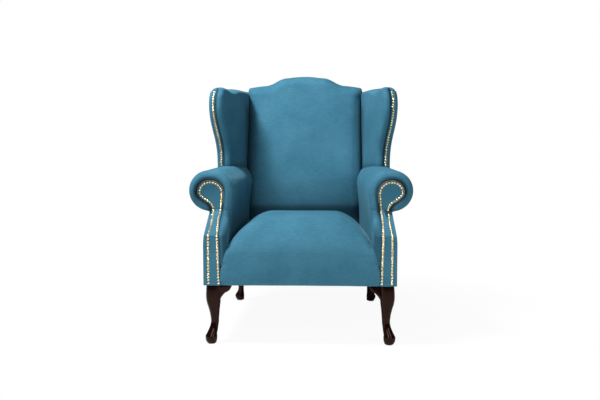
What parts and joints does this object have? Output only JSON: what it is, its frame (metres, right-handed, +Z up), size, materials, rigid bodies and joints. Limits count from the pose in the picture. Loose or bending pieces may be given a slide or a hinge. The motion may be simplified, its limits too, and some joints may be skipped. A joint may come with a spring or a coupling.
{
  "type": "wingback armchair",
  "caption": "High-backed upholstered armchair with wings, rolled arms, a humped back, domed nail trim and curved cabriole front legs.",
  "frame": {"origin": "on the floor, midway along the chair's width and depth", "axes": "+X to the right seen from the front, +Y to the back, +Z up; the front faces -Y"},
  "size_m": [0.8498, 0.86, 1.045],
  "materials": {
    "velvet": "petrol blue velvet with a soft sheen",
    "polished_wood": "near-black glossy polish",
    "brass_nails": "polished domed heads",
    "steel": "plain drawn wire and zinc",
    "wadding": "off-white wadding over foam",
    "black_cloth": "thin matt cloth",
    "webbing": "woven jute",
    "frame_wood": "plain sawn beech"
  },
  "bodies": {
    "root": {"back_cover": "velvet", "back_pad": "wadding", "back_seat_rail": "frame_wood", "back_tack_rail": "frame_wood", "back_webbing": "webbing", "corner_blocks": "frame_wood", "crest_rail": "frame_wood", "dust_cover": "black_cloth", "foot_glides": "steel", "frame_dowels": "frame_wood", "front_seat_rail": "frame_wood", "left_arm_cover": "velvet", "left_arm_facing": "velvet", "left_arm_nails": "brass_nails", "left_arm_pad": "wadding", "left_arm_tack_rail": "frame_wood", "left_arm_top_rail": "frame_wood", "left_back_leg": "polished_wood", "left_back_post": "frame_wood", "left_front_leg": "polished_wood", "left_front_post": "frame_wood", "left_outside_arm": "velvet", "left_outside_wing": "velvet", "left_scroll_board": "frame_wood", "left_side_seat_rail": "frame_wood", "left_wing_cover": "velvet", "left_wing_nails": "brass_nails", "left_wing_pad": "wadding", "left_wing_post": "frame_wood", "left_wing_top_rail": "frame_wood", "leg_bolts": "steel", "leg_sockets": "steel", "outside_back": "velvet", "right_arm_cover": "velvet", "right_arm_facing": "velvet", "right_arm_nails": "brass_nails", "right_arm_pad": "wadding", "right_arm_tack_rail": "frame_wood", "right_arm_top_rail": "frame_wood", "right_back_leg": "polished_wood", "right_back_post": "frame_wood", "right_front_leg": "polished_wood", "right_front_post": "frame_wood", "right_outside_arm": "velvet", "right_outside_wing": "velvet", "right_scroll_board": "frame_wood", "right_side_seat_rail": "frame_wood", "right_wing_cover": "velvet", "right_wing_nails": "brass_nails", "right_wing_pad": "wadding", "right_wing_post": "frame_wood", "right_wing_top_rail": "frame_wood", "seat_cover": "velvet", "seat_deck_cloth": "black_cloth", "seat_pad": "wadding", "seat_springs": "steel", "spring_clips": "steel"}
  },
  "joints": []
}
